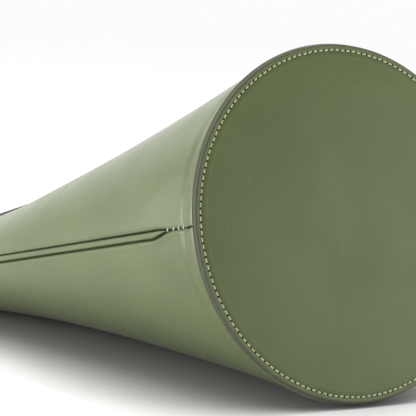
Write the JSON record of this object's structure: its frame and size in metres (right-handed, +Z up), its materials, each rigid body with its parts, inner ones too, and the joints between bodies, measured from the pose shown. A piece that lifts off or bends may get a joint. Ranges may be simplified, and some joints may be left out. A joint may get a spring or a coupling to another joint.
{
  "type": "bucket bag",
  "caption": "Leather bucket bag lying on its back: round stitched stiff base, panels narrowing to a flat mouth, welted side seams, carry strap on screw posts and a magnetic front flap",
  "frame": {"origin": "centre of the bounding box in X and Y, on the surface the bag lies on", "axes": "+Z up from the table; the base faces -Y and the mouth +Y, with the axis 14.2 degrees below level; X runs across the bag from side seam to side seam"},
  "size_m": [0.2734, 0.4166, 0.1723],
  "materials": {
    "leather": "smooth semi-gloss calf leather, olive green",
    "base_leather": "smooth semi-gloss calf leather over a stiff board, olive green",
    "lining": "matt woven lining, khaki",
    "board": "stiff bonded leather-fibre board",
    "thread": "waxed thread, pale green",
    "brass": "polished brass, a guess: no metal shows"
  },
  "bodies": {
    "bag": {"base_disc": "base_leather", "base_stitching": "thread", "base_filler": "board", "base_board": "board", "base_lining": "lining", "front_panel": "leather", "back_panel": "leather", "near_welt": "leather", "near_seam_stitching": "thread", "far_welt": "leather", "far_seam_stitching": "thread", "front_lining": "lining", "front_facing": "leather", "back_lining": "lining", "back_facing": "leather", "near_anchor_tab": "leather", "near_post": "brass", "near_washer": "brass", "near_cap": "brass", "far_anchor_tab": "leather", "far_post": "brass", "far_washer": "brass", "far_cap": "brass", "flap_root": "leather", "snap_socket": "brass", "snap_washer": "brass"},
    "strap": {"strap": "leather", "strap_lining": "leather"},
    "flap": {"flap": "leather", "flap_lining": "leather", "snap_stud": "brass"}
  },
  "joints": [
    {"name": "strap_swing", "type": "hinge", "parent": "bag", "child": "strap", "pos_m": [0, 0.07662, 0.02044], "axis": [1, 0, 0], "range_deg": [0, 125]},
    {"name": "flap_open", "type": "hinge", "parent": "bag", "child": "flap", "pos_m": [0, 0.10868, 0.01055], "axis": [-1, 0, 0], "range_deg": [0, 120]}
  ]
}
